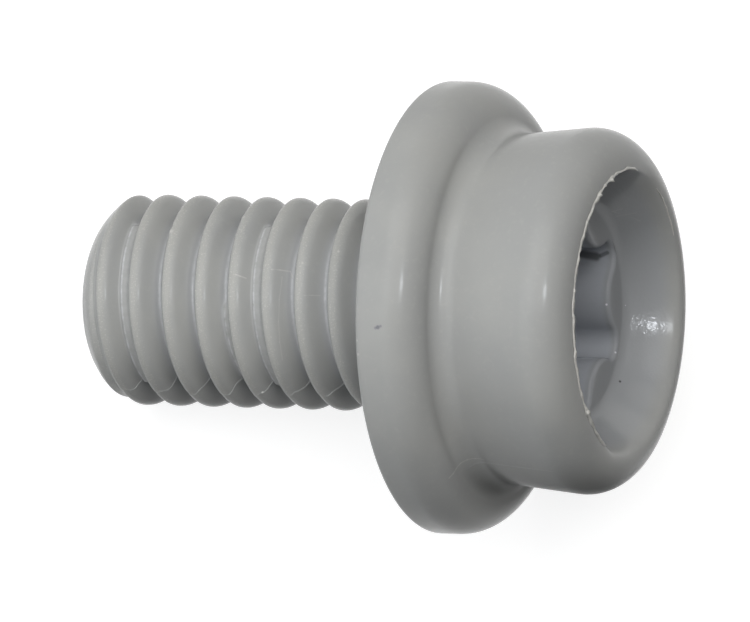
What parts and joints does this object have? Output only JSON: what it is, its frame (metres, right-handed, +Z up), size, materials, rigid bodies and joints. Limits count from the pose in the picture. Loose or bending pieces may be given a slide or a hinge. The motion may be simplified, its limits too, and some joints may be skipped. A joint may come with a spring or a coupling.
{
  "type": "flange machine screw",
  "caption": "Short grey moulded plastic machine screw with a helical thread, a round flange and a flared round head with a funnel mouth and a lobed driving socket.",
  "frame": {"origin": "on the floor, under the middle of the lying screw's box", "axes": "+X along the lying screw from its tip to its head, +Z up, +Y to the left seen from the tip"},
  "size_m": [0.0168, 0.0124, 0.0122],
  "materials": {
    "plastic": "satin moulded plastic"
  },
  "bodies": {
    "root": {"screw": "plastic"}
  },
  "joints": []
}
